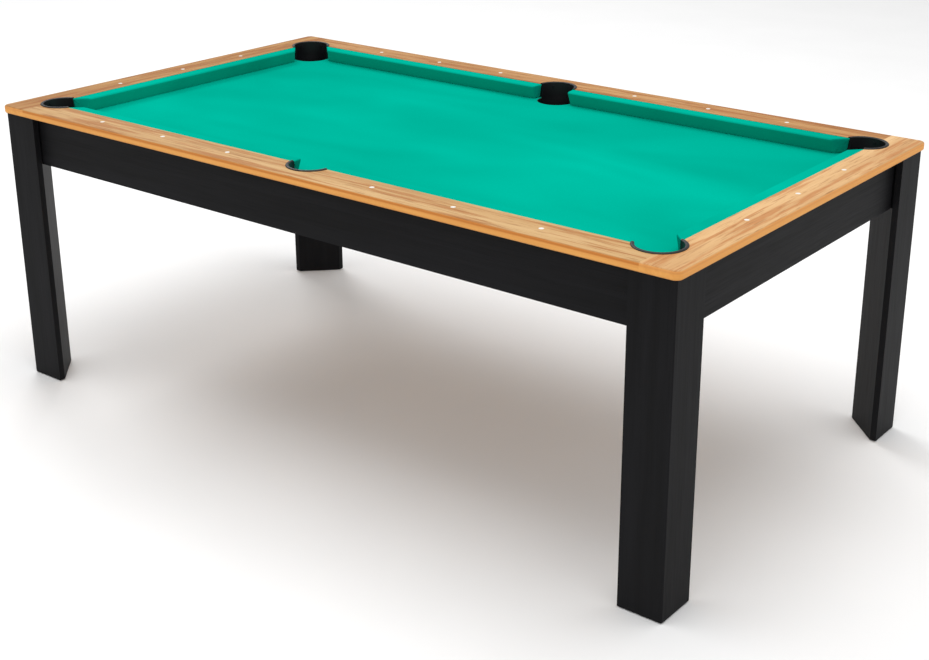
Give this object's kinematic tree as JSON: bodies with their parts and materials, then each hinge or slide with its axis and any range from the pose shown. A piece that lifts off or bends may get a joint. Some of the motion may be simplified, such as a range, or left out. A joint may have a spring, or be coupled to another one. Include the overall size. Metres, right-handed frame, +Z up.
{
  "type": "pool table",
  "caption": "Home pool table with a cloth-covered bed, wrapped cushions, wood-grain rails, drop pockets and black corner legs with levelling feet.",
  "frame": {"origin": "on the floor under the middle of the table", "axes": "+X along the table, +Y across it, +Z up"},
  "size_m": [2.1, 1.176, 0.783],
  "materials": {
    "rail_wood": "satin wood-grain laminate",
    "sight_white": "smooth inlay",
    "softwood": "planed softwood",
    "cushion_rubber": "moulded rubber",
    "cloth": "short-nap woven cloth",
    "bed_fibreboard": "raw fibreboard",
    "pocket_plastic": "satin moulded plastic",
    "black_laminate": "matt black laminate with a faint grain",
    "foot_plastic": "moulded plastic",
    "zinc_steel": "zinc-plated",
    "black_steel": "black oxide"
  },
  "bodies": {
    "table": {"rail_front": "rail_wood", "rail_back": "rail_wood", "rail_left": "rail_wood", "rail_right": "rail_wood", "rail_sights": "sight_white", "sub_rail_front_left": "softwood", "sub_rail_front_right": "softwood", "sub_rail_back_left": "softwood", "sub_rail_back_right": "softwood", "sub_rail_left_end": "softwood", "sub_rail_right_end": "softwood", "cushion_rubber_front_left": "cushion_rubber", "cushion_rubber_front_right": "cushion_rubber", "cushion_rubber_back_left": "cushion_rubber", "cushion_rubber_back_right": "cushion_rubber", "cushion_rubber_left_end": "cushion_rubber", "cushion_rubber_right_end": "cushion_rubber", "cushion_cloth_front_left": "cloth", "cushion_cloth_front_right": "cloth", "cushion_cloth_back_left": "cloth", "cushion_cloth_back_right": "cloth", "cushion_cloth_left_end": "cloth", "cushion_cloth_right_end": "cloth", "bed_board": "bed_fibreboard", "bed_cloth": "cloth", "pocket_front_left": "pocket_plastic", "pocket_front_middle": "pocket_plastic", "pocket_front_right": "pocket_plastic", "pocket_back_left": "pocket_plastic", "pocket_back_middle": "pocket_plastic", "pocket_back_right": "pocket_plastic", "apron_front": "black_laminate", "apron_back": "black_laminate", "apron_left": "black_laminate", "apron_right": "black_laminate", "leg_casing_front_left": "black_laminate", "leg_casing_front_right": "black_laminate", "leg_casing_back_left": "black_laminate", "leg_casing_back_right": "black_laminate", "leg_inner_panel_front_left": "black_laminate", "leg_inner_panel_front_right": "black_laminate", "leg_inner_panel_back_left": "black_laminate", "leg_inner_panel_back_right": "black_laminate", "leg_top_blocks": "softwood", "leg_foot_blocks": "softwood", "bed_ledgers": "softwood", "cross_beams": "softwood", "corner_brackets": "zinc_steel", "bracket_bolts": "zinc_steel", "rail_bolts": "zinc_steel", "threaded_inserts": "zinc_steel", "pocket_screws": "black_steel"},
    "foot_front_left": {"leveller_pad_front_left": "foot_plastic"},
    "stem_front_left": {"leveller_stem_front_left": "zinc_steel"},
    "foot_front_right": {"leveller_pad_front_right": "foot_plastic"},
    "stem_front_right": {"leveller_stem_front_right": "zinc_steel"},
    "foot_back_left": {"leveller_pad_back_left": "foot_plastic"},
    "stem_back_left": {"leveller_stem_back_left": "zinc_steel"},
    "foot_back_right": {"leveller_pad_back_right": "foot_plastic"},
    "stem_back_right": {"leveller_stem_back_right": "zinc_steel"}
  },
  "joints": [
    {"name": "foot_travel_front_left", "type": "slide", "parent": "table", "child": "foot_front_left", "axis": [0, 0, 1], "range_m": [-0.015, 0]},
    {"name": "stem_turn_front_left", "type": "hinge", "parent": "foot_front_left", "child": "stem_front_left", "pos_m": [-1.00344, -0.54144, 0], "axis": [0, 0, 1], "range_deg": [-4320, 0]},
    {"name": "foot_travel_front_right", "type": "slide", "parent": "table", "child": "foot_front_right", "axis": [0, 0, 1], "range_m": [-0.015, 0]},
    {"name": "stem_turn_front_right", "type": "hinge", "parent": "foot_front_right", "child": "stem_front_right", "pos_m": [1.00344, -0.54144, 0], "axis": [0, 0, 1], "range_deg": [-4320, 0]},
    {"name": "foot_travel_back_left", "type": "slide", "parent": "table", "child": "foot_back_left", "axis": [0, 0, 1], "range_m": [-0.015, 0]},
    {"name": "stem_turn_back_left", "type": "hinge", "parent": "foot_back_left", "child": "stem_back_left", "pos_m": [-1.00344, 0.54144, 0], "axis": [0, 0, 1], "range_deg": [-4320, 0]},
    {"name": "foot_travel_back_right", "type": "slide", "parent": "table", "child": "foot_back_right", "axis": [0, 0, 1], "range_m": [-0.015, 0]},
    {"name": "stem_turn_back_right", "type": "hinge", "parent": "foot_back_right", "child": "stem_back_right", "pos_m": [1.00344, 0.54144, 0], "axis": [0, 0, 1], "range_deg": [-4320, 0]}
  ],
  "couplings": [
    {"joint": "stem_turn_front_left", "follows": "foot_travel_front_left", "rad_per_m": 5026},
    {"joint": "stem_turn_front_right", "follows": "foot_travel_front_right", "rad_per_m": 5026},
    {"joint": "stem_turn_back_left", "follows": "foot_travel_back_left", "rad_per_m": 5026},
    {"joint": "stem_turn_back_right", "follows": "foot_travel_back_right", "rad_per_m": 5026}
  ]
}
